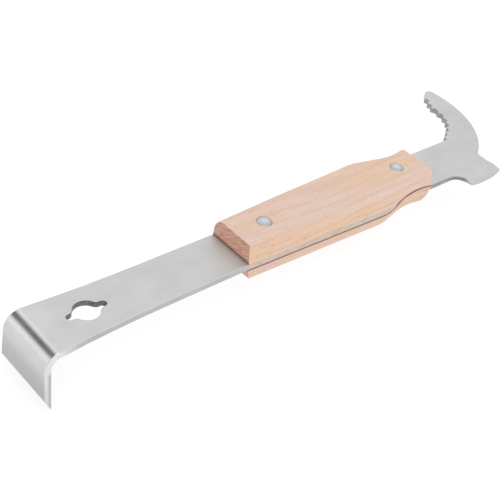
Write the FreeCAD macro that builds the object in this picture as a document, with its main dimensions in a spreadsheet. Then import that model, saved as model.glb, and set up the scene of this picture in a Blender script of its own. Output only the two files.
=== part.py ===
"""Hive tool: a stamped steel blade with two beech handle scales and two cutlery rivets.

Frame: origin at the centre of the nail hole, on the blade's top face.
+X runs along the strip from the scraper to the hook, +Y points to the hook's side, +Z is up.
The scraper lip is bent down at the -X end. All lengths are in millimetres.
"""
import FreeCAD, Part
import math
import os
import re
import Sketcher

doc = FreeCAD.newDocument("hive_tool")

# ---------------------------------------------------------------- driving dimensions
DIMENSIONS = [
    # strip and scraper lip
    ("plate_thickness", 3.0, "steel plate"),
    ("strip_half_width", 12.0, "half the straight strip"),
    ("flare_start_x", 30.0, "the strip starts to widen here, towards the lip"),
    ("flare_radius", 700.0, "radius of the widening sides"),
    ("bend_start_x", -20.1, "the flat ends and the bend starts here"),
    ("bend_start_half_width", 13.8, "half width where the bend starts"),
    ("bend_outer_radius", 7.0, "outside radius of the lip's bend"),
    ("lip_height", 27.0, "top face down to the scraping edge"),
    ("lip_root_half_width", 14.3, "half width under the bend"),
    ("lip_edge_half_width", 15.6, "half width at the scraping edge"),
    ("lip_bevel_height", 6.0, "height of the grind on the lip's outside"),
    # nail hole
    ("nail_hole_radius", 5.5, "round part of the hole"),
    ("nail_slot_half_length", 9.0, "hole centre to the end of each slot"),
    ("nail_slot_radius", 1.6, "half the slot's width"),
    # handle outline, shared by the tang and both scales apart from the set back
    ("handle_front_x", 72.3, "front end of the scales"),
    ("handle_rear_x", 193.8, "rear end of the scales"),
    ("belly_x", 159.8, "widest place of the handle"),
    ("belly_half_width", 15.2, "half width there, before rounding"),
    ("belly_radius", 25.0, "rounding of the belly"),
    ("waist_x", 181.8, "narrowest place of the handle"),
    ("waist_half_width", 10.4, "half width there, before rounding"),
    ("waist_radius", 40.0, "rounding of the waist"),
    ("waist_set_back", 1.8, "tang and lower scale stand back here, under the upper scale"),
    # scales
    ("scale_height", 8.5, "thickness of one scale"),
    ("scale_inset", 2.5, "how far the sides lean in over the height"),
    ("upper_front_rake", 0.9, "lean of the upper scale's front end"),
    ("lower_front_rake", 4.6, "lean of the lower scale's front end"),
    ("rear_rake", 0.4, "lean of both rear ends"),
    ("scale_edge_break", 0.6, "break of the outer face's edges"),
    # hook
    ("hook_root_x", 232.3, "the hook leaves the strip's far side here"),
    ("throat_x", 254.3, "corner of the throat, before rounding"),
    ("throat_y", 25.5, "corner of the throat, before rounding"),
    ("throat_radius", 23.0, "rounding of the throat"),
    ("hook_lip_x", 254.5, "inner edge where the tip starts to narrow"),
    ("hook_lip_y", 39.6, "inner edge where the tip starts to narrow"),
    ("beak_x", 259.5, "sharp corner at the end of the inner edge"),
    ("beak_y", 47.9, "sharp corner at the end of the inner edge"),
    ("tip_inner_x", 263.6, "inner end of the round tip"),
    ("tip_inner_y", 51.3, "inner end of the round tip"),
    ("tip_outer_x", 269.0, "outer end of the round tip"),
    ("tip_outer_y", 48.6, "outer end of the round tip"),
    ("tip_radius", 3.1, "radius of the tip"),
    ("hook_back_radius", 55.3, "radius of the hook's back"),
    # foot
    ("foot_root_x", 215.6, "corner between the strip and the foot"),
    ("foot_root_radius", 6.5, "rounding of that corner"),
    ("foot_front_x", 217.4, "front end of the foot's edge"),
    ("foot_front_y", -20.7, "front end of the foot's edge"),
    ("foot_rear_x", 242.7, "rear end of the foot's edge"),
    ("foot_rear_y", -19.3, "rear end of the foot's edge"),
    ("foot_edge_radius", 50.0, "bulge of the foot's edge"),
    ("foot_corner_radius", 1.2, "rounding of the edge's front corner"),
    ("foot_side_x", 240.0, "the foot's rear side flares out from here"),
    ("foot_side_y", -13.5, "the foot's rear side flares out from here"),
    ("foot_side_radius", 8.0, "rounding of that flare"),
    ("notch_x", 240.5, "corner between the foot and the hook's back"),
    ("notch_y", -5.3, "corner between the foot and the hook's back"),
    ("notch_radius", 3.0, "rounding of that corner"),
    ("foot_ridge_y", -14.8, "where the grind on the foot's top begins"),
    ("foot_knife_y", -21.5, "where the grind reaches the underside"),
    ("grind_overrun", 3.0, "how far the grinding profile runs past the steel"),
    # teeth in the throat
    ("tooth_pitch", 5.2, "distance from one notch to the next"),
    ("tooth_radius", 2.3, "radius of one notch"),
    ("tooth_offset", 1.0, "centre of the notch, out from the inner edge"),
    ("tooth_first", 2.9, "hook root to the first notch"),
    # rivets
    ("front_rivet_x", 89.9, "front rivet"),
    ("rear_rivet_x", 177.4, "rear rivet"),
    ("rivet_head_radius", 3.4, "head of each half"),
    ("rivet_recess_radius", 3.6, "counterbore in the wood"),
    ("rivet_recess_depth", 1.2, "depth of the counterbore"),
    ("rivet_rim_height", 1.0, "head thickness at its rim"),
    ("rivet_crown", 0.7, "rise of the domed head"),
    ("rivet_tube_radius", 2.5, "outside of the hollow half"),
    ("rivet_pin_radius", 1.6, "solid half, pressed into the hollow one"),
]

sheet = doc.addObject("Spreadsheet::Sheet", "dims")
for row, (alias, size, note) in enumerate(DIMENSIONS, start=1):
    sheet.set(f"A{row}", note)
    sheet.set(f"B{row}", str(size))
    sheet.setAlias(f"B{row}", alias)
doc.recompute()

TOOTH_COUNT = 9
SAME_PLACE = 0.05  # millimetres: an edge this close to a plan place stands on it
LEAST_CUT = 0.001  # cubic millimetres: a pocket takes away more than this


def value(expression):
    """The number that a formula over the sheet's cells gives."""
    return float(sheet.evalExpression(expression))


def bound(expression):
    """The same formula, as another object of the document refers to it."""
    return "(" + re.sub(r"\b[a-z]\w+\b(?!\()", lambda word: f"dims.{word.group()}", expression) + ")"


# ---------------------------------------------------------------- helpers
def origin_plane(body, role):
    """One of the body's own origin planes."""
    return next(item for item in body.Origin.OriginFeatures if item.Role == role)


def new_sketch(body, name, role, offset="0"):
    """An empty sketch on an origin plane, raised by a formula along the plane's normal."""
    sketch = body.newObject("Sketcher::SketchObject", name)
    sketch.AttachmentSupport = [(origin_plane(body, role), "")]
    sketch.MapMode = "FlatFace"
    sketch.setExpression("AttachmentOffset.Base.z", bound(offset) + " * 1 mm")
    doc.recompute()
    return sketch


def bind(sketch, constraint, expression):
    """Add a dimension to a sketch and drive it from the sheet."""
    index = sketch.addConstraint(constraint)
    sketch.setExpression(f"Constraints[{index}]", bound(expression) + " * 1 mm")


def corner(x, y, arc=None, rounding=None):
    """A corner of an outline. The side after it may be an arc, the corner itself rounded."""
    return x, y, arc, rounding


def add_side(sketch, start, end, radius=None):
    """Draw a line, or the short arc of a given radius that bulges to the right of the way.

    The result names the side with its first and its last point.
    """
    if radius is None:
        return sketch.addGeometry(Part.LineSegment(start, end)), 1, 2
    chord = end - start
    sagitta = abs(radius) - math.sqrt(radius ** 2 - (chord.Length / 2) ** 2)
    right = FreeCAD.Vector(chord.y, -chord.x, 0).normalize()
    middle = (start + end) / 2 + right * math.copysign(sagitta, radius)
    side = sketch.addGeometry(Part.Arc(start, middle, end))
    first = sketch.getPoint(side, 1)
    if (first - start).Length > (first - end).Length:
        return side, 2, 1
    return side, 1, 2


def pin_point(sketch, side, point, place, x, y):
    """Hold a point of a sketch with two dimensions from the origin."""
    bind(sketch, Sketcher.Constraint("DistanceX", -1, 1, side, point, place.x), x)
    bind(sketch, Sketcher.Constraint("DistanceY", -1, 1, side, point, place.y), y)


def closed_outline(sketch, corners):
    """Draw a closed chain of lines and arcs, counter-clockwise, through the corners.

    Every corner is held by two dimensions and every arc by its radius, all driven by formulas.
    """
    count = len(corners)
    points = [FreeCAD.Vector(value(x), value(y), 0) for x, y, arc, rounding in corners]
    arrive, leave = list(points), list(points)
    turns = [0.0] * count
    for i, (x, y, arc, rounding) in enumerate(corners):
        if rounding is None:
            continue
        before = (points[i] - points[i - 1]).normalize()
        after = (points[(i + 1) % count] - points[i]).normalize()
        turns[i] = before.getAngle(after) * math.copysign(1, before.cross(after).z)
        reach = value(rounding) * math.tan(abs(turns[i]) / 2)
        arrive[i] = points[i] - before * reach
        leave[i] = points[i] + after * reach

    sides = []
    for i, (x, y, arc, rounding) in enumerate(corners):
        radius = None if arc is None else value(arc)
        sides.append(add_side(sketch, leave[i], arrive[(i + 1) % count], radius))
        if arc is not None:
            bind(sketch, Sketcher.Constraint("Radius", sides[i][0], abs(radius)), f"abs({arc})")

    for i, (x, y, arc, rounding) in enumerate(corners):
        before, first, last = sides[i - 1]
        after, start, end = sides[i]
        if rounding is None:
            sketch.addConstraint(Sketcher.Constraint("Coincident", before, last, after, start))
            pin_point(sketch, after, start, points[i], x, y)
            continue
        radius = value(rounding)
        arc = add_side(sketch, arrive[i], leave[i], math.copysign(radius, turns[i]))
        sketch.addConstraint(Sketcher.Constraint("Tangent", before, last, arc[0], arc[1]))
        sketch.addConstraint(Sketcher.Constraint("Tangent", arc[0], arc[2], after, start))
        bind(sketch, Sketcher.Constraint("Radius", arc[0], radius), rounding)
        tip = sketch.addGeometry(Part.Point(points[i]), True)
        sketch.addConstraint(Sketcher.Constraint("PointOnObject", tip, 1, before))
        sketch.addConstraint(Sketcher.Constraint("PointOnObject", tip, 1, after))
        pin_point(sketch, tip, 1, points[i], x, y)
    doc.recompute()


def pin_circle(sketch, x, y, radius):
    """Draw one circle whose centre and radius are driven by formulas."""
    centre = FreeCAD.Vector(value(x), value(y), 0)
    circle = sketch.addGeometry(Part.Circle(centre, FreeCAD.Vector(0, 0, 1), value(radius)))
    pin_point(sketch, circle, 3, centre, x, y)
    bind(sketch, Sketcher.Constraint("Radius", circle, value(radius)), radius)


def extrude(body, kind, name, sketch, length, symmetric=False, backwards=False):
    """A Pad or a Pocket. A Pocket must take some material away."""
    before = body.Shape.Volume if kind == "PartDesign::Pocket" else 0.0
    feature = body.newObject(kind, name)
    feature.Profile = sketch
    feature.Type = 0
    feature.Midplane = symmetric
    feature.Reversed = backwards
    feature.setExpression("Length", bound(length) + " * 1 mm")
    doc.recompute()
    if kind == "PartDesign::Pocket" and body.Shape.Volume > before - LEAST_CUT:
        raise RuntimeError(f"{name} takes nothing away")
    return feature


def edges_at(shape, x, y):
    """Names of the upright edges at a plan place."""
    found = []
    for number, edge in enumerate(shape.Edges, start=1):
        plan = [FreeCAD.Vector(vertex.Point.x - x, vertex.Point.y - y, 0) for vertex in edge.Vertexes]
        if len(plan) == 2 and max(offset.Length for offset in plan) < SAME_PLACE:
            found.append(f"Edge{number}")
    return found


def round_edges(body, name, base, edges, radius):
    """A fillet over named edges, with its radius driven by the sheet."""
    if not edges:
        raise RuntimeError(f"{name} found no edge")
    fillet = body.newObject("PartDesign::Fillet", name)
    fillet.Base = (base, edges)
    fillet.setExpression("Radius", bound(radius) + " * 1 mm")
    doc.recompute()
    return fillet


# ---------------------------------------------------------------- blade
def handle_side(sign, inset="0", front="0", rear="0", set_back="0"):
    """The long side of the handle from its front to its rear end.

    The whole side is set in by an inset, and the waist by its set back besides.
    """
    return [
        corner(f"handle_front_x + {front}", f"{sign}(strip_half_width - ({inset}))"),
        corner("belly_x", f"{sign}(belly_half_width - ({inset}))",
               rounding=f"belly_radius - ({inset})"),
        corner("waist_x", f"{sign}(waist_half_width - ({inset}) - {set_back})",
               rounding=f"waist_radius + {inset}"),
        corner(f"handle_rear_x - ({rear})", f"{sign}(strip_half_width - ({inset}))"),
    ]


def blade_outline():
    """Corners of the flat part, counter-clockwise from the lip's near side."""
    near = [
        corner("bend_start_x", "-bend_start_half_width", arc="-flare_radius"),
        corner("flare_start_x", "-strip_half_width"),
    ]
    foot = [
        corner("foot_root_x", "-strip_half_width", rounding="foot_root_radius"),
        corner("foot_front_x", "foot_front_y", arc="foot_edge_radius"),
        corner("foot_rear_x", "foot_rear_y"),
        corner("foot_side_x", "foot_side_y", rounding="foot_side_radius"),
    ]
    hook = [
        corner("notch_x", "notch_y", arc="hook_back_radius"),
        corner("tip_outer_x", "tip_outer_y", arc="tip_radius"),
        corner("tip_inner_x", "tip_inner_y"),
        corner("beak_x", "beak_y"),
        corner("hook_lip_x", "hook_lip_y"),
        corner("throat_x", "throat_y", rounding="throat_radius"),
        corner("hook_root_x", "strip_half_width"),
    ]
    far = [
        corner("flare_start_x", "strip_half_width", arc="-flare_radius"),
        corner("bend_start_x", "bend_start_half_width"),
    ]
    near_tang = handle_side("-", set_back="waist_set_back")
    far_tang = handle_side("", set_back="waist_set_back")[::-1]
    return near + near_tang + foot + hook + far_tang + far


def add_lip(body):
    """The bend and the lip, as wide as the scraping edge, then trimmed to their flare."""
    face = "bend_start_x - bend_outer_radius"
    profile = new_sketch(body, "lip_profile", "XZ_Plane")
    closed_outline(profile, [
        corner("bend_start_x", "0", arc="bend_outer_radius"),
        corner(face, "-bend_outer_radius"),
        corner(face, "lip_bevel_height - lip_height"),
        corner(f"{face} + plate_thickness", "-lip_height"),
        corner(f"{face} + plate_thickness", "-bend_outer_radius",
               arc="-(bend_outer_radius - plate_thickness)"),
        corner("bend_start_x", "-plate_thickness"),
    ])
    extrude(body, "PartDesign::Pad", "lip", profile, "2 * lip_edge_half_width", symmetric=True)

    for name, sign in (("lip_trim_near", "-"), ("lip_trim_far", "")):
        trim = new_sketch(body, name, "YZ_Plane", "bend_start_x")
        trimmed = [
            corner(f"{sign}bend_start_half_width", "0"),
            corner(f"{sign}lip_root_half_width", "-bend_outer_radius"),
            corner(f"{sign}lip_edge_half_width", "-lip_height"),
            corner(f"{sign}2 * lip_edge_half_width", "-lip_height"),
            corner(f"{sign}2 * lip_edge_half_width", "plate_thickness"),
            corner(f"{sign}bend_start_half_width", "plate_thickness"),
        ]
        closed_outline(trim, trimmed)
        extrude(body, "PartDesign::Pocket", name + "_cut", trim, "2 * bend_outer_radius")


def left_of(heading):
    """The horizontal direction to the left of a heading."""
    return FreeCAD.Vector(-heading.y, heading.x, 0)


def tooth_places():
    """Centres of the notches, evenly spaced along the hook's inner edge."""
    root = FreeCAD.Vector(value("hook_root_x"), value("strip_half_width"), 0)
    throat = FreeCAD.Vector(value("throat_x"), value("throat_y"), 0)
    lip = FreeCAD.Vector(value("hook_lip_x"), value("hook_lip_y"), 0)
    beak = FreeCAD.Vector(value("beak_x"), value("beak_y"), 0)
    radius = value("throat_radius")
    inward = (throat - root).normalize()
    outward = (lip - throat).normalize()
    turn = inward.getAngle(outward)
    reach = radius * math.tan(turn / 2)
    curve_start = throat - inward * reach
    centre = curve_start + left_of(inward) * radius
    straight = (curve_start - root).Length
    curved = radius * turn
    narrowing = straight + curved + (lip - throat).Length - reach
    places = []
    for i in range(TOOTH_COUNT):
        along = value("tooth_first") + i * value("tooth_pitch")
        if along < straight:
            point, heading = root + inward * along, inward
        elif along < straight + curved:
            angle = (along - straight) / radius
            heading = inward * math.cos(angle) + left_of(inward) * math.sin(angle)
            point = centre - left_of(heading) * radius
        elif along < narrowing:
            point, heading = lip - outward * (narrowing - along), outward
        else:
            heading = (beak - lip).normalize()
            point = lip + heading * (along - narrowing)
        places.append(point + left_of(heading) * value("tooth_offset"))
    return places


def build_blade():
    body = doc.addObject("PartDesign::Body", "blade_body")
    body.Label = "blade"
    plan = new_sketch(body, "blade_plan", "XY_Plane")
    closed_outline(plan, blade_outline())
    plate = extrude(body, "PartDesign::Pad", "plate", plan, "plate_thickness", backwards=True)

    base = plate
    for name, place in (("notch", "notch"), ("foot_corner", "foot_front")):
        edges = edges_at(base.Shape, value(f"{place}_x"), value(f"{place}_y"))
        base = round_edges(body, f"{name}_round", base, edges, f"{name}_radius")

    add_lip(body)

    hole = new_sketch(body, "nail_hole", "XY_Plane")
    pin_circle(hole, "0", "0", "nail_hole_radius")
    extrude(body, "PartDesign::Pocket", "nail_hole_cut", hole, "plate_thickness")

    slots = new_sketch(body, "nail_slots", "XY_Plane")
    end = "(nail_slot_half_length - nail_slot_radius)"
    closed_outline(slots, [
        corner(f"-{end}", "-nail_slot_radius"),
        corner(end, "-nail_slot_radius", arc="nail_slot_radius"),
        corner("nail_slot_half_length", "0", arc="nail_slot_radius"),
        corner(end, "nail_slot_radius"),
        corner(f"-{end}", "nail_slot_radius", arc="nail_slot_radius"),
        corner("-nail_slot_half_length", "0", arc="nail_slot_radius"),
    ])
    extrude(body, "PartDesign::Pocket", "nail_slots_cut", slots, "plate_thickness")

    rivets = new_sketch(body, "rivet_holes", "XY_Plane")
    for x in ("front_rivet_x", "rear_rivet_x"):
        pin_circle(rivets, x, "0", "rivet_tube_radius")
    extrude(body, "PartDesign::Pocket", "rivet_holes_cut", rivets, "plate_thickness")

    teeth = new_sketch(body, "tooth_notches", "XY_Plane")
    for centre in tooth_places():
        circle = teeth.addGeometry(
            Part.Circle(centre, FreeCAD.Vector(0, 0, 1), value("tooth_radius")))
        teeth.addConstraint(Sketcher.Constraint("DistanceX", -1, 1, circle, 3, centre.x))
        teeth.addConstraint(Sketcher.Constraint("DistanceY", -1, 1, circle, 3, centre.y))
        bind(teeth, Sketcher.Constraint("Radius", circle, value("tooth_radius")), "tooth_radius")
    extrude(body, "PartDesign::Pocket", "tooth_cut", teeth, "plate_thickness")

    grind = new_sketch(body, "foot_grind", "YZ_Plane", "foot_root_x - foot_root_radius")
    closed_outline(grind, [
        corner("foot_ridge_y", "0"),
        corner("foot_ridge_y", "grind_overrun"),
        corner("foot_knife_y - grind_overrun", "grind_overrun"),
        corner("foot_knife_y - grind_overrun", "-plate_thickness"),
        corner("foot_knife_y", "-plate_thickness"),
    ])
    foot_length = "foot_rear_x - foot_root_x + foot_root_radius"
    extrude(body, "PartDesign::Pocket", "foot_grind_cut", grind, f"{foot_length} + grind_overrun",
            backwards=True)
    return body


# ---------------------------------------------------------------- handle scales
def build_scale(label, contact, outer, rake, set_back="0"):
    """A scale lofted from its outline on the tang to its smaller outer face."""
    body = doc.addObject("PartDesign::Body", label + "_body")
    body.Label = label
    upwards = value(outer) > value(contact)
    below = "- scale_edge_break" if upwards else "+ scale_edge_break"
    share = "(1 - scale_edge_break / scale_height)"
    leans = ("scale_inset", rake, "rear_rake")
    sections = []
    for name, level, lean in (
        ("root", contact, ["0"] * len(leans) + [set_back]),
        ("shoulder", f"{outer} {below}", [f"{size} * {share}" for size in leans]),
        ("top", outer, [f"{size} + scale_edge_break" for size in leans]),
    ):
        section = new_sketch(body, f"{label}_{name}", "XY_Plane", level)
        closed_outline(section, handle_side("-", *lean) + handle_side("", *lean)[::-1])
        sections.append(section)
    loft = body.newObject("PartDesign::AdditiveLoft", label + "_loft")
    loft.Profile = sections[0]
    loft.Sections = sections[1:]
    loft.Ruled = True
    doc.recompute()

    for suffix, radius, depth in (
        ("rivet_holes", "rivet_tube_radius", "scale_height"),
        ("rivet_recesses", "rivet_recess_radius", "rivet_recess_depth"),
    ):
        holes = new_sketch(body, f"{label}_{suffix}", "XY_Plane", outer)
        for x in ("front_rivet_x", "rear_rivet_x"):
            pin_circle(holes, x, "0", radius)
        extrude(body, "PartDesign::Pocket", f"{label}_{suffix}_cut", holes, depth,
                backwards=not upwards)
    return body


# ---------------------------------------------------------------- rivets
def revolve_section(label, corners, x):
    """A turned part from its half section, set at one of the rivet places."""
    body = doc.addObject("PartDesign::Body", label + "_body")
    body.Label = label
    section = new_sketch(body, label + "_section", "XZ_Plane")
    closed_outline(section, corners)
    turned = body.newObject("PartDesign::Revolution", label + "_turned")
    turned.Profile = section
    turned.ReferenceAxis = (section, ["V_Axis"])
    turned.Angle = 360.0
    doc.recompute()
    body.setExpression("Placement.Base.x", bound(x) + " * 1 mm")
    return body


def build_rivet(place, x):
    """A cutlery rivet: a hollow half from above and a solid half pressed in from below."""
    top = "scale_height"
    bottom = "-(plate_thickness + scale_height)"
    seat = f"{top} - rivet_recess_depth"
    rim = f"{seat} + rivet_rim_height"
    crown = "(rivet_head_radius * rivet_head_radius / rivet_crown + rivet_crown) / 2"
    low_seat = f"{bottom} + rivet_recess_depth"
    low_rim = f"{low_seat} - rivet_rim_height"
    tube = revolve_section(f"{place}_rivet_tube", [
        corner("rivet_pin_radius", seat),
        corner("rivet_pin_radius", low_seat),
        corner("rivet_tube_radius", low_seat),
        corner("rivet_tube_radius", seat),
        corner("rivet_head_radius", seat),
        corner("rivet_head_radius", rim, arc=crown),
        corner("0", f"{rim} + rivet_crown"),
        corner("0", seat),
    ], x)
    pin = revolve_section(f"{place}_rivet_pin", [
        corner("0", f"{low_rim} - rivet_crown", arc=crown),
        corner("rivet_head_radius", low_rim),
        corner("rivet_head_radius", low_seat),
        corner("rivet_pin_radius", low_seat),
        corner("rivet_pin_radius", seat),
        corner("0", seat),
    ], x)
    return [tube, pin]


# ---------------------------------------------------------------- the whole tool
parts = [
    build_blade(),
    build_scale("upper_scale", "0", "scale_height", "upper_front_rake"),
    build_scale("lower_scale", "-plate_thickness", "-(plate_thickness + scale_height)",
                "lower_front_rake", "waist_set_back"),
]
for place in ("front", "rear"):
    parts += build_rivet(place, f"{place}_rivet_x")
doc.recompute()

for item in doc.Objects:
    if "Invalid" in item.State or "Error" in item.State:
        raise RuntimeError(f"{item.Name} did not build: {item.State}")
for part in parts:
    if part.Shape.isNull() or not part.Shape.isValid() or len(part.Shape.Solids) != 1:
        raise RuntimeError(f"{part.Label} is not one sound solid")

os.makedirs("parts", exist_ok=True)
for part in parts:
    part.Shape.exportStep(f"parts/{part.Label}.step")
    print(part.Label, round(part.Shape.Volume, 1), part.Shape.BoundBox)
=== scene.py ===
"""Looks of the hive tool: rounded beech scales, a brushed and ground steel blade, domed rivets."""
import math

import bmesh
import bpy
from mathutils import Matrix, Vector


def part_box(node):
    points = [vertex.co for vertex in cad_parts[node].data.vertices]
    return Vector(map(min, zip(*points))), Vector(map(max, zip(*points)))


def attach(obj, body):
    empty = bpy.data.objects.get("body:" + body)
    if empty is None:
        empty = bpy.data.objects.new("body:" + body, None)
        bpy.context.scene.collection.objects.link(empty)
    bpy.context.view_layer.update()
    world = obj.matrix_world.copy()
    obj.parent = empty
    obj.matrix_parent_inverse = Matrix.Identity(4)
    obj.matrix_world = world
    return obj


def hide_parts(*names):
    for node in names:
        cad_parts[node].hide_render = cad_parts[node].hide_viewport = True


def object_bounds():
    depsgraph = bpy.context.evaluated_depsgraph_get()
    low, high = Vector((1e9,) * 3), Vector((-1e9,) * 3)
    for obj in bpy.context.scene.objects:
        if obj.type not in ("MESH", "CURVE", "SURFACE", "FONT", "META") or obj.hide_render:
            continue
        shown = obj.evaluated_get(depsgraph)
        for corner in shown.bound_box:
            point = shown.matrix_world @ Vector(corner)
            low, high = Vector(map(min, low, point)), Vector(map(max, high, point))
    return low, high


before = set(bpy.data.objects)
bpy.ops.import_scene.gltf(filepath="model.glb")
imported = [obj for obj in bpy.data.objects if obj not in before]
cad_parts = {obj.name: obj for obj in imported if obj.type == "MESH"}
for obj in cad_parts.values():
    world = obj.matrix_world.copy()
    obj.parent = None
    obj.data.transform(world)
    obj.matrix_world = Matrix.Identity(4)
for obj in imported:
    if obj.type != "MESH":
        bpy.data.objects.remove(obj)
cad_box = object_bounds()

MM = 0.001

# Camera: the photograph's own viewpoint, its place in metres and its lens in millimetres.
CAMERA_PLACE = (-0.165888, -0.218897, 0.253692)
CAMERA_RIGHT = (0.729045, -0.662093, 0.173569)
CAMERA_DOWN = (-0.320689, -0.554439, -0.767956)
CAMERA_LENS = 69.94
CAMERA_SHIFT = (-0.0332, 0.0127)

# Blade, in millimetres: how far its edges are rounded.
STRIP_EDGE_ROUND = 0.4
STAMPED_EDGE_ROUND = 0.15
HOLE_EDGE_ROUND = 0.25
KNIFE_EDGE_ROUND = 0.08

# Blade, in millimetres: where its parts lie.
LIP_REACH = 7.0
LIP_GRIND_TOP = -20.0
TANG_START, TANG_END = 73.0, 193.5
RIVET_HOLE_REACH = 5.0
SHANK_END = 220.0
FOOT_GRIND_SIDE = -15.0
TEETH_START_X = 228.0
TEETH_START_Y, TEETH_END_Y = 12.5, 47.8
NAIL_HOLE_RADIUS = 5.5
NAIL_SLOT_RADIUS = 1.6
NAIL_CORNER_ROUND = 2.4

# Blade, in degrees: what counts as flat, as an edge to round and as a knife edge.
FLAT_TURN = 0.4
EDGE_TURN = 40.0
KNIFE_TURN = 110.0

# Blade, in millimetres: vertices closer than this are joined.
SAME_PLACE = 0.001
SLIVER = 0.1
LIP_STEP = 0.25

# In millimetres: how near a level counts as on it.
LEVEL_PLAY = 0.01

# Blade: how upright a face's normal is, from 0 on the plate's edge to 1 on its faces.
EDGE_LEVEL = 0.3
FACE_LEVEL = 0.97

# Blade: the normals of the lip's sides point sideways by more than this.
LIP_SIDE_LEVEL = 0.5

# Blade: the normals of the teeth point towards +X by less than this.
TEETH_LEVEL = 0.3

# The steel materials' roughness on the polished lip.
LIP_ROUGHNESS = 0.3

# In degrees: edges that turn by more than this are shaded hard. The weight leans on large faces.
BLADE_SHARP = 30
SCALE_SHARP = 34
RIVET_SHARP = 50
FACE_WEIGHT = 80

# Beech scales, in millimetres. Tables give a size at shares of the length from front to rear.
# A lean here is added to the lean of the CAD scale's sides.
SCALES = {
    "upper_scale": {
        "sign": 1,
        "contact_break": 0.15,
        "front_rake": 0.9,
        "lean": {"near": ((0.0, 0.0), (0.7, -0.1), (1.0, -0.6)),
                 "far": ((0.0, -3.2), (0.2, -2.2), (0.7, -1.4), (1.0, -0.3))},
        "round": {"near": ((0.0, 0.5), (0.06, 1.2), (0.35, 2.0), (0.75, 2.4), (0.9, 3.4), (1.0, 3.8)),
                  "far": ((0.0, 5.0), (0.25, 3.5), (0.6, 3.0), (0.9, 2.2), (1.0, 1.2))},
        "bulge": ((0.0, 0.0), (1.0, 0.0)),
        "front_corner": {"near": 0.3, "far": 0.6, "top": 0.35},
        "rear_corner": {"near": 1.0, "far": 0.9, "top": 1.3},
    },
    "lower_scale": {
        "sign": -1,
        "contact_break": 0.4,
        "front_rake": 4.6,
        "lean": {"near": ((0.0, 0.0), (1.0, 0.0)), "far": ((0.0, 0.0), (1.0, 0.0))},
        "round": {"near": ((0.0, 0.6), (0.3, 1.5), (0.9, 2.2), (1.0, 1.4)),
                  "far": ((0.0, 0.6), (0.3, 1.5), (0.9, 2.2), (1.0, 1.4))},
        "bulge": ((0.0, 0.0), (0.72, 0.2), (0.88, 1.2), (1.0, 0.4)),
        "front_corner": {"near": 0.3, "far": 0.6, "top": 0.35},
        "rear_corner": {"near": 0.8, "far": 0.8, "top": 0.8},
    },
}
SHOULDER_DEPTH = 0.6
# The front rake fades out over this share of the length.
RAKE_SHARE = 0.3
# Sections lie at these offsets from each end, and divide the length between into even spans.
END_STATIONS = (0.0, 0.02, 0.08, 0.18, 0.35, 0.6, 0.9, 1.3, 1.8, 2.4)
MIDDLE_SPANS = 90
SIDE_STEPS = 6
TOP_STEPS = 8
ARC_STEPS = 8

# Rivets, in millimetres.
RECESS_RADIUS = 3.5
RECESS_DEPTH = 1.25
RECESS_BREAK = 0.15
RECESS_OVERRUN = 0.3
SEAT_DEPTH = 1.2
RIM_ROUND = 0.3
RIM_HEIGHT = 1.12
# The rim's arc is this share of a quarter circle, and starts this share of its radius under RIM_HEIGHT.
RIM_TURN = 0.8
RIM_SINK = 0.6
RIM_STEPS = 6
DOME_STEPS = 8
SHANK_RADIUS = {"tube": 2.5, "pin": 1.6}

# Studio, in metres and watts.
FLOOR_REACH = 4.0
FLOOR_GAP = 0.0001
KEY_PLACE = (0.1, -0.5, 1.2)
KEY_AIM = (0.12, 0.0, 0.0)
KEY_SIZE = 0.8
KEY_POWER = 3.0


def along(table, at):
    """Linear interpolation in a sorted table of (place, size)."""
    if at <= table[0][0]:
        return table[0][1]
    for (left, first), (right, second) in zip(table, table[1:]):
        if at <= right:
            return first + (second - first) * (at - left) / max(right - left, 1e-9)
    return table[-1][1]


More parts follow.
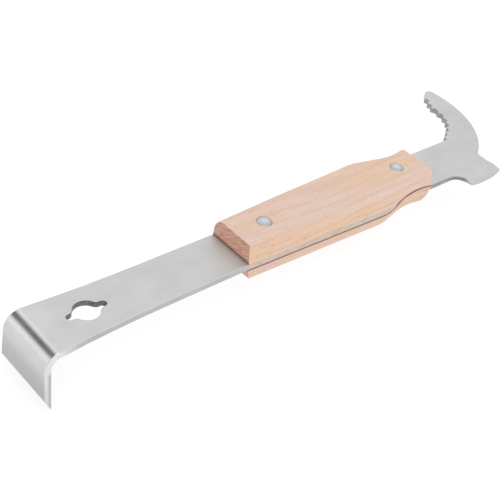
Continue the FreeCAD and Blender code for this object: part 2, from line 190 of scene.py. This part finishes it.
# ---------------------------------------------------------------- nodes
class Nodes:
    """A small writer of shader node trees."""

    def __init__(self, tree):
        self.tree = tree

    def node(self, kind, **settings):
        made = self.tree.nodes.new(kind)
        for key, setting in settings.items():
            setattr(made, key, setting)
        return made

    def feed(self, socket, source):
        """Link an output to a socket, or write a plain value on it."""
        if hasattr(source, "is_output"):
            self.tree.links.new(source, socket)
        else:
            socket.default_value = source

    def math(self, operation, *sources):
        made = self.node("ShaderNodeMath", operation=operation)
        for socket, source in zip(made.inputs, sources):
            self.feed(socket, source)
        return made.outputs[0]

    def times(self, first, second):
        return self.math("MULTIPLY", first, second)

    def plus(self, first, second):
        return self.math("ADD", first, second)

    def stretch(self, vector, shares):
        made = self.node("ShaderNodeVectorMath", operation="MULTIPLY")
        self.feed(made.inputs[0], vector)
        self.feed(made.inputs[1], shares)
        return made.outputs[0]

    def shift(self, vector, offset):
        made = self.node("ShaderNodeVectorMath", operation="ADD")
        self.feed(made.inputs[0], vector)
        self.feed(made.inputs[1], offset)
        return made.outputs[0]

    def place(self):
        """The point on the object, in millimetres."""
        coordinates = self.node("ShaderNodeTexCoord").outputs["Object"]
        return self.stretch(coordinates, (1 / MM, 1 / MM, 1 / MM))

    def split(self, vector):
        made = self.node("ShaderNodeSeparateXYZ")
        self.feed(made.inputs[0], vector)
        return made.outputs

    def join(self, x, y):
        made = self.node("ShaderNodeCombineXYZ")
        self.feed(made.inputs[0], x)
        self.feed(made.inputs[1], y)
        return made.outputs[0]

    def noise(self, at, shares, detail=3.0, roughness=0.5, distortion=0.0):
        """Noise over a point squeezed by shares: a small share draws it out along that axis."""
        made = self.node("ShaderNodeTexNoise")
        self.feed(made.inputs["Vector"], self.stretch(at, shares))
        made.inputs["Scale"].default_value = 1.0
        made.inputs["Detail"].default_value = detail
        made.inputs["Roughness"].default_value = roughness
        made.inputs["Distortion"].default_value = distortion
        return made.outputs["Fac"]

    def ease(self, source, start, end):
        """0 before start, 1 past end, eased in between."""
        made = self.node("ShaderNodeMapRange", interpolation_type="SMOOTHSTEP")
        for socket, value in zip(made.inputs, (source, start, end)):
            self.feed(socket, value)
        return made.outputs[0]

    def blend(self, share, first, second):
        made = self.node("ShaderNodeMix", data_type="RGBA")
        self.feed(made.inputs["Factor"], share)
        self.feed(made.inputs["A"], first)
        self.feed(made.inputs["B"], second)
        return made.outputs["Result"]

    def multiply(self, first, second):
        """Two colours multiplied."""
        made = self.node("ShaderNodeMix", data_type="RGBA", blend_type="MULTIPLY")
        made.inputs["Factor"].default_value = 1.0
        self.feed(made.inputs["A"], first)
        self.feed(made.inputs["B"], second)
        return made.outputs["Result"]


class Surface(Nodes):
    """The node tree of a new material."""

    def __init__(self, name):
        self.material = bpy.data.materials.new(name)
        self.material.use_nodes = True
        super().__init__(self.material.node_tree)
        self.shader = self.tree.nodes["Principled BSDF"]

    def put(self, name, source):
        """Feed one of the shader's own sockets."""
        self.feed(self.shader.inputs[name], source)

    def bump(self, height, strength, distance):
        """Relief from a height, its distance in millimetres."""
        made = self.node("ShaderNodeBump")
        made.inputs["Strength"].default_value = strength
        made.inputs["Distance"].default_value = distance * MM
        self.feed(made.inputs["Height"], height)
        self.put("Normal", made.outputs[0])


def grey(level, warmth=0.0):
    return (level * (1 + warmth), level, level * (1 - warmth), 1.0)


# ---------------------------------------------------------------- steel
def face_colour(n, x, z):
    """The plate's faces, with painted shade that darkens them down the lip."""
    return n.blend(n.ease(z, -2.0, -17.0), grey(0.64), grey(0.41))


def ground_colour(n, x, z):
    """The ground faces, with a little painted shade down the lip."""
    return n.blend(n.ease(z, -2.0, -17.0), grey(0.62), grey(0.58))


def edge_colour(n, x, z):
    """The plate's edge, painted darker than the faces as shade, with a painted highlight round the bend that
    fades down the lip, and a dull torn band on the inner side of the lip.
    """
    # Painted shade and highlight: darker than the faces along the strip, lighter round the bend.
    colour = n.blend(n.ease(x, -10.0, -22.0), grey(0.48), grey(0.74))
    # The painted highlight fades down the lip.
    colour = n.blend(n.ease(z, -5.0, -27.0), colour, grey(0.60))
    torn = n.times(n.ease(z, -7.0, -10.0), n.ease(x, -25.7, -25.2))
    return n.blend(torn, colour, grey(0.49))


def steel_material(name, colour_at, marks, contrast, roughness):
    """Steel with fine marks drawn out along the axes whose share is small, polished on the lip."""
    n = Surface(name)
    at = n.place()
    x, _, z = n.split(at)
    fine = n.noise(at, marks, 3.0, 0.6)
    cloud = n.noise(at, (0.06, 0.09, 0.09), 2.0, 0.5)
    tone = n.plus(n.times(fine, 0.4), n.times(cloud, 0.6))
    shade = n.blend(n.ease(tone, 0.3, 0.7), grey(1 - contrast), grey(1 + contrast))
    n.put("Base Color", n.multiply(colour_at(n, x, z), shade))
    n.put("Metallic", 1.0)
    polish = n.ease(x, -10.0, -20.0)
    rough = n.plus(roughness, n.times(polish, LIP_ROUGHNESS - roughness))
    n.put("Roughness", n.plus(rough, n.times(n.plus(tone, -0.5), 0.12)))
    n.bump(fine, 0.1, 0.01)
    return n.material


def cut_steel_material(name):
    """Sheared and unpolished plate edge, with painted shade that darkens it in the nail hole.

    Painted shade darkens the inner corner of the foot too, but for the band that rolled over on top.
    """
    n = Surface(name)
    at = n.place()
    x, y, z = n.split(at)
    tear = n.noise(at, (1.1, 1.1, 0.35), 4.0, 0.6)
    torn = n.ease(tear, 0.3, 0.7)
    colour = n.blend(torn, grey(0.27, 0.02), grey(0.42, 0.02))
    # Painted shade: darker inside the nail hole.
    in_hole = n.ease(x, 30.0, 15.0)
    colour = n.blend(in_hole, colour, n.blend(torn, grey(0.13, 0.02), grey(0.24, 0.02)))
    # Painted shade in the inner corner of the foot, darker towards the shank.
    in_corner = n.times(n.ease(x, 205.0, 212.0), n.ease(x, 224.0, 217.0))
    corner_colour = n.blend(n.ease(y, -18.5, -15.5), grey(0.5), grey(0.25))
    corner_colour = n.blend(n.ease(z, -1.5, -0.6), corner_colour, grey(0.62))
    colour = n.blend(n.times(in_corner, 0.95), colour, corner_colour)
    n.put("Base Color", colour)
    n.put("Metallic", 0.85)
    n.put("Roughness", n.plus(0.42, n.times(tear, 0.2)))
    n.bump(tear, 0.3, 0.05)
    return n.material


def tang_material(name):
    """The tang's edge, dull, warm with a painted reflection of the wood that takes the lower scale's colour
    in the waist, and a painted shadow as a dark line there.
    """
    n = Surface(name)
    at = n.place()
    x, _, z = n.split(at)
    tear = n.noise(at, (0.25, 0.25, 1.4), 4.0, 0.6)
    # Painted reflection: the steel edge takes warm, wood-like colours.
    colour = n.blend(n.ease(tear, 0.3, 0.7), (0.52, 0.40, 0.33, 1), (0.68, 0.55, 0.47, 1))
    # In the waist the painted reflection takes the lower scale's colour.
    waist = n.ease(x, 164.0, 172.0)
    colour = n.blend(waist, colour, (0.70, 0.47, 0.375, 1))
    # Painted shadow under the upper scale: a dark band down from the top of the edge in the waist, thinning
    # towards the rear.
    line_depth = n.plus(2.9, n.times(n.ease(x, 174.0, 194.0), -1.9))
    line = n.times(waist, n.ease(n.plus(z, line_depth), -0.25, 0.25))
    colour = n.blend(n.times(line, 0.9), colour, (0.16, 0.07, 0.035, 1))
    n.put("Base Color", colour)
    n.put("Metallic", 0.3)
    n.put("Roughness", n.plus(0.45, n.times(tear, 0.2)))
    n.bump(tear, 0.3, 0.04)
    return n.material


# ---------------------------------------------------------------- beech
def growth_rings(n, at):
    """Growth lines at a slant across the section, drifting along it."""
    _, y, z = n.split(at)
    drift = n.noise(at, (0.012, 0.05, 0.05), 2.0, 0.5)
    slant = n.plus(n.times(y, 0.34), n.times(z, 0.37))
    wave = n.math("PINGPONG", n.plus(slant, n.times(drift, 6.0)), 1.0)
    return n.ease(wave, 0.35, 1.0)


def end_pores(n, at):
    """Pores and streaks of the sawn ends."""
    _, y, z = n.split(at)
    across = n.plus(n.times(y, 0.5), n.times(z, 0.87))
    down = n.plus(n.times(y, -0.87), n.times(z, 0.5))
    streak = n.noise(n.join(across, down), (1.3, 0.22, 0.0), 2.0, 0.6)
    return n.plus(n.times(streak, 0.75), n.times(n.noise(at, (0.6, 3.4, 3.4), 3.0, 0.6), 0.25))


def face_grain_colour(n, at, ring, fibre, hair, fleck):
    """Pink and honey patches under fibres, rings, fine hairs and dark flecks."""
    pink = (0.735, 0.560, 0.480, 1)
    honey = (0.755, 0.535, 0.395, 1)
    deep = (0.560, 0.365, 0.275, 1)
    patch = n.noise(at, (0.02, 0.09, 0.12), 2.0, 0.5)
    colour = n.blend(n.ease(patch, 0.38, 0.62), pink, honey)
    colour = n.blend(n.times(n.ease(fibre, 0.42, 0.78), 0.55), colour, deep)
    colour = n.blend(n.times(ring, 0.22), colour, deep)
    colour = n.blend(n.times(n.ease(hair, 0.5, 0.8), 0.3), colour, deep)
    return n.blend(n.times(fleck, 0.6), colour, (0.36, 0.19, 0.12, 1))


def end_grain_colour(n, ring, pore):
    colour = n.blend(n.ease(pore, 0.36, 0.66), (0.70, 0.42, 0.32, 1), (0.46, 0.245, 0.175, 1))
    return n.blend(n.times(ring, 0.2), colour, (0.34, 0.16, 0.105, 1))


def glue_and_contact_shade(n, here, end, contact):
    """Share of the dark glue line and painted contact shadow beside the contact plane, wider on the ends.

    The upper scale, whose contact plane is at 0, has it on its ends only, and the lower scale has it
    up to the waist.
    """
    x, _, z = n.split(here)
    depth = n.math("ABSOLUTE", n.plus(z, -contact))
    narrow = n.ease(depth, 1.1, 0.3)
    wide = n.ease(depth, 1.6, 0.7)
    glue_and_shade = n.plus(narrow, n.times(n.plus(wide, n.times(narrow, -1.0)), end))
    return n.times(glue_and_shade, end if contact == 0 else n.ease(x, 178.0, 170.0))


def wood_material(name, offset, contact):
    """Plain sanded beech. The offset gives each scale a figure of its own.

    The contact is the height of the plane where the scale meets the tang.
    """
    n = Surface(name)
    here = n.place()
    at = n.shift(here, offset)
    ring = growth_rings(n, at)
    fibre = n.noise(at, (0.05, 1.7, 1.7), 4.0, 0.65, 0.3)
    hair = n.noise(at, (0.16, 4.5, 4.5), 3.0, 0.6)
    fleck = n.ease(n.noise(at, (0.45, 2.6, 2.6), 1.0, 0.4), 0.68, 0.76)
    pore = end_pores(n, at)
    facing = n.split(n.node("ShaderNodeNewGeometry").outputs["Normal"])
    side = n.ease(n.math("ABSOLUTE", facing[2]), 0.9, 0.4)
    end = n.ease(n.math("ABSOLUTE", facing[0]), 0.6, 0.92)

    colour = face_grain_colour(n, at, ring, fibre, hair, fleck)
    colour = n.blend(n.times(side, 0.55), colour, n.multiply(colour, (1.0, 0.955, 0.87, 1)))
    colour = n.blend(end, colour, end_grain_colour(n, ring, pore))
    glue_and_shade = glue_and_contact_shade(n, here, end, contact)
    # Dark glue line, with painted shadow in the joint beside the tang.
    colour = n.blend(n.times(glue_and_shade, 0.85), colour, (0.17, 0.085, 0.055, 1))
    n.put("Base Color", colour)
    rough = n.plus(0.5, n.times(fibre, 0.2))
    n.put("Roughness", n.plus(rough, n.times(end, 0.15)))
    n.put("Specular IOR Level", 0.3)
    relief = n.plus(fibre, n.times(hair, 0.6))
    relief = n.plus(relief, n.times(fleck, -0.8))
    relief = n.plus(relief, n.times(n.times(pore, end), 1.5))
    n.bump(relief, 0.35, 0.08)
    return n.material


# ---------------------------------------------------------------- aluminium
def rivet_material(name, centre_x):
    """Turned aluminium: faint rings round the axis, with a painted bluish highlight in the middle of the
    dome.
    """
    n = Surface(name)
    at = n.place()
    x, y, _ = n.split(at)
    from_axis = n.plus(x, -centre_x / MM)
    radius = n.math("SQRT", n.plus(n.times(from_axis, from_axis), n.times(y, y)))
    wobble = n.noise(at, (0.8, 0.8, 0.8), 2.0, 0.5)
    rings = n.math("SINE", n.plus(n.times(radius, 24.0), n.times(wobble, 4.0)))
    scuff = n.noise(at, (2.2, 2.2, 2.2), 3.0, 0.6)
    # Painted highlight: a bright bluish middle of the dome.
    middle = n.ease(n.plus(radius, n.times(wobble, 1.2)), 3.3, 1.6)
    colour = n.blend(middle, (0.50, 0.50, 0.52, 1), (0.68, 0.72, 0.80, 1))
    colour = n.blend(n.times(n.ease(scuff, 0.4, 0.75), 0.4), colour, (0.42, 0.43, 0.46, 1))
    n.put("Base Color", colour)
    n.put("Metallic", 1.0)
    n.put("Roughness", n.plus(0.2, n.times(scuff, 0.18)))
    n.bump(n.plus(n.times(rings, 0.3), scuff), 0.2, 0.015)
    return n.material


# ---------------------------------------------------------------- mesh helpers
def link_mesh(name, shape):
    """A new object from a bmesh, which it frees."""
    mesh = bpy.data.meshes.new(name)
    shape.to_mesh(mesh)
    shape.free()
    made = bpy.data.objects.new(name, mesh)
    bpy.context.scene.collection.objects.link(made)
    return made


def new_piece(name, shape, nodes, materials):
    """Make a shown piece from a bmesh, in place of CAD nodes."""
    piece = link_mesh(name, shape)
    for material in materials:
        piece.data.materials.append(material)
    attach(piece, "root")
    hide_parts(*nodes)
    return piece


def apply_modifiers(piece):
    """Bake the piece's modifiers into its mesh."""
    bpy.context.view_layer.update()
    graph = bpy.context.evaluated_depsgraph_get()
    baked = bpy.data.meshes.new_from_object(piece.evaluated_get(graph))
    piece.modifiers.clear()
    old = piece.data
    piece.data = baked
    bpy.data.meshes.remove(old)


def cut(piece, cutter_shape):
    """Take a closed bmesh away from a piece."""
    bmesh.ops.recalc_face_normals(cutter_shape, faces=cutter_shape.faces)
    cutter = link_mesh("cutter", cutter_shape)
    difference = piece.modifiers.new("cut", "BOOLEAN")
    difference.operation = "DIFFERENCE"
    difference.solver = "EXACT"
    difference.object = cutter
    apply_modifiers(piece)
    bpy.data.objects.remove(cutter)


def finish_shading(piece, angle):
    """Smooth shading with hard edges above an angle, leaning on the large faces."""
    for polygon in piece.data.polygons:
        polygon.use_smooth = True
    piece.data.set_sharp_from_angle(angle=math.radians(angle))
    weighted = piece.modifiers.new("flat_faces", "WEIGHTED_NORMAL")
    weighted.keep_sharp = True
    weighted.weight = FACE_WEIGHT
    apply_modifiers(piece)


def weld(shape, distance, picks=None):
    """Join the vertices closer than a distance, or only those whose places a test picks."""
    verts = [vertex for vertex in shape.verts if picks is None or picks(vertex.co)]
    bmesh.ops.remove_doubles(shape, verts=verts, dist=distance * MM)


def dissolve_flat(shape):
    """Drop the edges that lie within flat faces."""
    bmesh.ops.dissolve_limit(shape, angle_limit=math.radians(FLAT_TURN), verts=shape.verts, edges=shape.edges)


def arc_points(centre, radius, start, turn):
    """Points of an arc from a start angle through a turn, both in radians."""
    points = []
    for step in range(ARC_STEPS + 1):
        angle = start + turn * step / ARC_STEPS
        points.append(centre + Vector((math.cos(angle), math.sin(angle))) * radius)
    return points


def loft(shape, rings):
    """A skin over rings of vertices. A ring may be one vertex, and an end ring of more gets a face."""
    for first, second in zip(rings, rings[1:]):
        size = max(len(first), len(second))
        for i in range(size):
            j = (i + 1) % size
            corners = [first[i % len(first)], first[j % len(first)],
                       second[j % len(second)], second[i % len(second)]]
            shape.faces.new(list(dict.fromkeys(corners)))
    for ring in (rings[0], rings[-1]):
        if len(ring) > 1:
            shape.faces.new(ring)


def lathe(profile, x, sides=72):
    """A closed turned shape round an upright axis at x, from (radius, height) pairs."""
    shape = bmesh.new()
    angles = [2 * math.pi * (k + 0.5) / sides for k in range(sides)]
    rings = []
    for radius, height in profile:
        if radius == 0:
            rings.append([shape.verts.new((x, 0, height))])
        else:
            rings.append([shape.verts.new((x + radius * math.cos(angle), radius * math.sin(angle), height))
                          for angle in angles])
    loft(shape, rings)
    bmesh.ops.recalc_face_normals(shape, faces=shape.faces)
    return shape


# ---------------------------------------------------------------- blade
def nail_corner_cutter():
    """Four small prisms that round the corners between the nail hole and its slots."""
    reach = NAIL_HOLE_RADIUS + NAIL_CORNER_ROUND
    centre_y = NAIL_SLOT_RADIUS + NAIL_CORNER_ROUND
    centre = Vector((math.sqrt(reach ** 2 - centre_y ** 2), centre_y))
    on_hole = centre * (NAIL_HOLE_RADIUS / reach)
    in_hole = on_hole * 0.85
    in_slot = NAIL_SLOT_RADIUS / 4
    above, below = 1.0, -4.0
    start = math.atan2(*(on_hole - centre).yx)
    arc = arc_points(centre, NAIL_CORNER_ROUND, start, -math.pi / 2 - start)
    outline = arc + [Vector((centre.x, in_slot)), Vector((in_hole.x, in_slot)), in_hole]
    cutter = bmesh.new()
    for sign_x in (-1, 1):
        for sign_y in (-1, 1):
            loft(cutter, [[cutter.verts.new((point.x * sign_x * MM, point.y * sign_y * MM, level * MM))
                           for point in outline] for level in (above, below)])
    return cutter


def near_nail_hole(point):
    return Vector((point.x, point.y)).length < 2 * NAIL_HOLE_RADIUS * MM


def plate_shape(lip_end):
    """The CAD blade with the nail hole's corners rounded, cleared of slivers that can't be rounded."""
    shape = bmesh.new()
    shape.from_mesh(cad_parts["blade"].data)
    weld(shape, SAME_PLACE)
    dissolve_flat(shape)
    plate = link_mesh("plate", shape)
    cut(plate, nail_corner_cutter())
    shape = bmesh.new()
    shape.from_mesh(plate.data)
    bpy.data.objects.remove(plate)
    weld(shape, SLIVER)
    weld(shape, LIP_STEP, lambda point: abs(point.x - lip_end) < SLIVER * MM / 2)
    dissolve_flat(shape)
    shape.normal_update()
    return shape


def edge_round(edge):
    """How far an edge of the sharp-edged plate is rounded, in millimetres.

    It changes only at sharp corners of the outline, so that the rounded strips meet cleanly.
    Hook and foot were stamped from above: rounded over on top, keen below.
    """
    first, second = edge.verts[0].co, edge.verts[1].co
    middle = (first + second) / 2
    turn = math.degrees(edge.calc_face_angle())
    on_tang = TANG_START * MM < middle.x < TANG_END * MM
    in_rivet_hole = on_tang and abs(middle.y) < RIVET_HOLE_REACH * MM
    if turn <= EDGE_TURN or not edge.is_convex or in_rivet_hole:
        return 0.0
    if near_nail_hole(middle):
        return HOLE_EDGE_ROUND
    if middle.x < TANG_END * MM:
        return KNIFE_EDGE_ROUND if turn > KNIFE_TURN else STRIP_EDGE_ROUND
    on_top = min(first.z, second.z) > -LEVEL_PLAY * MM
    return STAMPED_EDGE_ROUND if on_top else 0.0


def on_teeth(normal, middle):
    """Whether an upright face belongs to the toothed inner edge of the hook, short of the beak."""
    in_hook = middle.x > TEETH_START_X * MM and TEETH_START_Y * MM < middle.y < TEETH_END_Y * MM
    return in_hook and normal.x < TEETH_LEVEL


def blade_face_material(face, lip_end):
    """Which of the blade's materials a face takes, from where it lies and how it faces."""
    steel, edge, ground, sheared, tang = range(5)
    normal, middle = face.normal, face.calc_center_median()
    if abs(normal.z) >= EDGE_LEVEL:
        on_grind = middle.y < FOOT_GRIND_SIDE * MM or middle.z < LIP_GRIND_TOP * MM
        return ground if on_grind and abs(normal.z) < FACE_LEVEL else steel
    if middle.x < lip_end:
        return edge if abs(normal.y) > LIP_SIDE_LEVEL else steel
    if near_nail_hole(middle):
        return sheared
    if TANG_START * MM < middle.x < TANG_END * MM:
        return tang
    on_shank = normal.y < 0 and TANG_END * MM < middle.x < SHANK_END * MM
    return sheared if on_shank or on_teeth(normal, middle) else edge


def blade_piece(materials):
    """The blade with its stamped edges rounded and its knife edges kept keen."""
    lip_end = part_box("blade")[0].x + LIP_REACH * MM
    shape = plate_shape(lip_end)
    weight = shape.edges.layers.float.new("bevel_weight_edge")
    for edge in shape.edges:
        if len(edge.link_faces) == 2:
            edge[weight] = edge_round(edge) / STRIP_EDGE_ROUND
    piece = new_piece("blade_steel", shape, ["blade"], materials)
    bevel = piece.modifiers.new("round", "BEVEL")
    bevel.limit_method = "WEIGHT"
    bevel.width = STRIP_EDGE_ROUND * MM
    bevel.segments = 3
    bevel.use_clamp_overlap = False
    bevel.harden_normals = False
    apply_modifiers(piece)

    # The rounded strips would take either neighbour's material, so it is given after they are made.
    shape = bmesh.new()
    shape.from_mesh(piece.data)
    weld(shape, SLIVER, near_nail_hole)
    for face in shape.faces:
        face.material_index = blade_face_material(face, lip_end)
    shape.to_mesh(piece.data)
    shape.free()
    finish_shading(piece, BLADE_SHARP)


# ---------------------------------------------------------------- scales
def outline_at(node, level):
    """Half width against x of a CAD scale at one of its levels, read from its corners there.

    Only the near side is read, clear of the rivet holes.
    """
    rim = {}
    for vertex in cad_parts[node].data.vertices:
        if abs(vertex.co.z - level) < LEVEL_PLAY * MM and vertex.co.y < -RIVET_HOLE_REACH * MM:
            place = round(vertex.co.x, 6)
            rim[place] = max(-vertex.co.y, rim.get(place, 0))
    return sorted(rim.items())


def end_inset(distance, radius):
    """How far a quarter-round end stands in at a distance from the end."""
    if distance >= radius:
        return 0.0
    return radius - math.sqrt(radius ** 2 - (radius - distance) ** 2)


def corner_inset(form, part, offset, length):
    """How far the rounded ends stand in, at an offset from the front end."""
    inset = end_inset(offset, form["front_corner"][part] * MM)
    return inset + end_inset(length - offset, form["rear_corner"][part] * MM)


def scale_stations(length):
    """Offsets of the sections from the front end, close together at both ends."""
    front = [step * MM for step in END_STATIONS]
    rear = [length - step for step in reversed(front)]
    middle_length = length - 2 * front[-1]
    middle = [front[-1] + middle_length * i / MIDDLE_SPANS for i in range(1, MIDDLE_SPANS)]
    return front + middle + rear


def side_points(half, lean, height, rounding, contact_break, bulge):
    """One side of a section, from its contact edge up and round to the outer face."""
    foot = Vector((half, contact_break))
    top = Vector((half - lean, height))
    up = (top - foot).normalized()
    outward = Vector((up.y, -up.x))
    turn = up.angle(Vector((-1.0, 0.0)))
    start = top - up * rounding * math.tan(turn / 2)
    centre = start - outward * rounding
    points = [Vector((half - contact_break, 0.0))]
    for step in range(SIDE_STEPS):
        share = step / SIDE_STEPS
        points.append(foot + (start - foot) * share + outward * bulge * math.sin(math.pi * share))
    return points + arc_points(centre, rounding, math.atan2(outward.y, outward.x), turn)


def section_points(form, offset, length, half, lean, height):
    """A scale's section as (across, rise) points, from the near contact edge round to the far one."""
    share = offset / length
    rise = height - corner_inset(form, "top", offset, length)
    sides = {}
    for side in ("near", "far"):
        sides[side] = side_points(half - corner_inset(form, side, offset, length),
                                  lean + along(form["lean"][side], share) * MM,
                                  rise,
                                  along(form["round"][side], share) * MM,
                                  form["contact_break"] * MM,
                                  along(form["bulge"], share) * MM)
    near = [Vector((-point.x, point.y)) for point in sides["near"]]
    far = sides["far"][::-1]
    top = [near[-1].lerp(far[0], k / TOP_STEPS) for k in range(1, TOP_STEPS)]
    return near + top + far


def recess_cutter(rivet, outer, sign):
    """The room for a rivet's head in a scale's outer face, its mouth a little broken."""
    low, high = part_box(rivet)
    above = outer + sign * RECESS_OVERRUN * MM
    below = outer - sign * RECESS_BREAK * MM
    base = outer - sign * RECESS_DEPTH * MM
    wall = RECESS_RADIUS * MM
    mouth = wall + (RECESS_BREAK + RECESS_OVERRUN) * MM
    return lathe([(0, above), (mouth, above), (wall, below), (wall, base), (0, base)], (low.x + high.x) / 2)


def scale_piece(name, node, material):
    """A beech scale, its section worked out at stations along its length."""
    form = SCALES[node]
    sign = form["sign"]
    low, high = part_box(node)
    contact, outer = (low.z, high.z) if sign > 0 else (high.z, low.z)
    height = abs(outer - contact)
    length = high.x - low.x
    root = outline_at(node, contact)
    shoulder = outline_at(node, outer - sign * SHOULDER_DEPTH * MM)
    to_full_height = height / (height - SHOULDER_DEPTH * MM)

    shape = bmesh.new()
    rings = []
    for offset in scale_stations(length):
        x = low.x + offset
        half = along(root, x)
        lean = (half - along(shoulder, x)) * to_full_height
        rake = form["front_rake"] * MM * max(0.0, 1 - offset / length / RAKE_SHARE)
        rings.append([shape.verts.new((x + rake * point.y / height, point.x, contact + sign * point.y))
                      for point in section_points(form, offset, length, half, lean, height)])
    loft(shape, rings)
    bmesh.ops.recalc_face_normals(shape, faces=shape.faces)
    piece = new_piece(name, shape, [node], [material])
    for rivet in ("front_rivet_tube", "rear_rivet_tube"):
        cut(piece, recess_cutter(rivet, outer, sign))
    finish_shading(piece, SCALE_SHARP)


# ---------------------------------------------------------------- rivets
def dome_profile(head, rim, crown, sign):
    """(radius, height) pairs of a head, from its rounded rim up the dome to the crown."""
    radius = RIM_ROUND * MM
    profile = []
    for step in range(RIM_STEPS + 1):
        angle = math.pi / 2 * step / RIM_STEPS * RIM_TURN
        height = rim + sign * radius * (math.sin(angle) - RIM_SINK)
        profile.append((head - radius * (1 - math.cos(angle)), height))
    edge_radius, edge_height = profile[-1]
    for step in range(1, DOME_STEPS + 1):
        share = 1 - step / DOME_STEPS
        profile.append((edge_radius * share, edge_height + (crown - edge_height) * (1 - share ** 2)))
    return profile


def rivet_piece(place, half, material):
    """One half of a rivet: a hollow or solid shank and a low dome."""
    node = f"{place}_rivet_{half}"
    low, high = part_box(node)
    shank = SHANK_RADIUS[half] * MM
    bore = SHANK_RADIUS["pin"] * MM
    if half == "tube":
        sign, crown, far_end, outer = 1, high.z, low.z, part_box("upper_scale")[1].z
    else:
        sign, crown, far_end, outer = -1, low.z, high.z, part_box("lower_scale")[0].z
    seat = outer - sign * SEAT_DEPTH * MM
    rim = seat + sign * RIM_HEIGHT * MM
    head = (high.x - low.x) / 2
    inside = [(0, seat), (bore, seat), (bore, far_end)] if half == "tube" else [(0, far_end)]
    outside = [(shank, far_end), (shank, seat), (head, seat)]
    profile = inside + outside + dome_profile(head, rim, crown, sign)
    turned = lathe(profile, (low.x + high.x) / 2)
    piece = new_piece(node + "_turned", turned, [node], [material])
    finish_shading(piece, RIVET_SHARP)


# ---------------------------------------------------------------- floor, light and camera
def make_floor():
    """A plain pale floor just under the tool."""
    level = cad_box[0].z - FLOOR_GAP
    shape = bmesh.new()
    corners = [(-1, -1), (1, -1), (1, 1), (-1, 1)]
    shape.faces.new([shape.verts.new((x * FLOOR_REACH, y * FLOOR_REACH, level)) for x, y in corners])
    floor = link_mesh("floor", shape)
    n = Surface("floor_white")
    n.put("Base Color", grey(0.25))
    n.put("Roughness", 0.9)
    n.put("Specular IOR Level", 0.0)
    n.put("Emission Color", grey(1.0))
    n.put("Emission Strength", 0.8)
    floor.data.materials.append(n.material)


def sky_window(n, direction, edges):
    """The share of the sky past every eased edge, each an axis with its start and end."""
    share = 1.0
    for axis, start, end in edges:
        share = n.times(share, n.ease(direction[axis], start, end))
    return share


def make_light():
    """Even white studio light with a dark flag low at the far left, framed by brighter panels.

    The bend of the lip mirrors the flag as a dark line between two bright ones.
    """
    x_axis, y_axis, z_axis = range(3)
    world = bpy.data.worlds.new("studio")
    bpy.context.scene.world = world
    world.use_nodes = True
    n = Nodes(world.node_tree)
    direction = n.split(n.node("ShaderNodeTexCoord").outputs["Generated"])
    panels = sky_window(n, direction, [(z_axis, 0.0, 0.2), (y_axis, 0.25, 0.4), (x_axis, 0.36, 0.2)])
    flag = sky_window(n, direction, [(z_axis, 0.4, 0.55), (y_axis, 0.3, 0.42),
                                     (x_axis, -0.64, -0.46), (x_axis, 0.06, -0.18)])
    colour = n.blend(panels, grey(1.0), grey(1.3))
    colour = n.blend(flag, colour, grey(0.02))
    background = n.tree.nodes["Background"]
    n.feed(background.inputs["Color"], colour)
    n.feed(background.inputs["Strength"], 0.95)

    lamp = bpy.data.lights.new("soft_key", "AREA")
    lamp.shape = "DISK"
    lamp.size = KEY_SIZE
    lamp.energy = KEY_POWER
    key = bpy.data.objects.new("soft_key", lamp)
    key.location = KEY_PLACE
    aim = Vector(KEY_AIM) - Vector(KEY_PLACE)
    key.rotation_euler = aim.to_track_quat("-Z", "Y").to_euler()
    bpy.context.scene.collection.objects.link(key)


def make_camera():
    """The photograph's viewpoint."""
    data = bpy.data.cameras.new("camera")
    data.lens = CAMERA_LENS
    data.sensor_width = 36.0
    data.shift_x, data.shift_y = CAMERA_SHIFT
    data.clip_start = 0.01
    camera = bpy.data.objects.new("camera", data)
    right = Vector(CAMERA_RIGHT)
    up = -Vector(CAMERA_DOWN)
    turn = Matrix((right, up, right.cross(up))).transposed().to_4x4()
    camera.matrix_world = Matrix.Translation(CAMERA_PLACE) @ turn
    bpy.context.scene.collection.objects.link(camera)
    bpy.context.scene.camera = camera


# ---------------------------------------------------------------- build
blade_piece([
    steel_material("brushed_steel", face_colour, (0.05, 1.1, 1.1), 0.05, 0.58),
    steel_material("plate_edge_steel", edge_colour, (0.3, 0.3, 1.6), 0.06, 0.36),
    steel_material("ground_steel", ground_colour, (2.2, 0.12, 0.12), 0.06, 0.36),
    cut_steel_material("sheared_edge_steel"),
    tang_material("tang_edge_steel"),
])
scale_piece("upper_scale_beech", "upper_scale", wood_material("beech_upper", (13.0, 4.0, 2.0), 0.0))
scale_piece("lower_scale_beech", "lower_scale", wood_material("beech_lower", (140.0, 55.0, 31.0), -3.0))
for place in ("front", "rear"):
    low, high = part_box(f"{place}_rivet_tube")
    metal = rivet_material(f"{place}_rivet_metal", (low.x + high.x) / 2)
    for half in ("tube", "pin"):
        rivet_piece(place, half, metal)
make_floor()
make_light()
make_camera()
bpy.context.scene.view_settings.view_transform = "Standard"
bpy.context.view_layer.update()
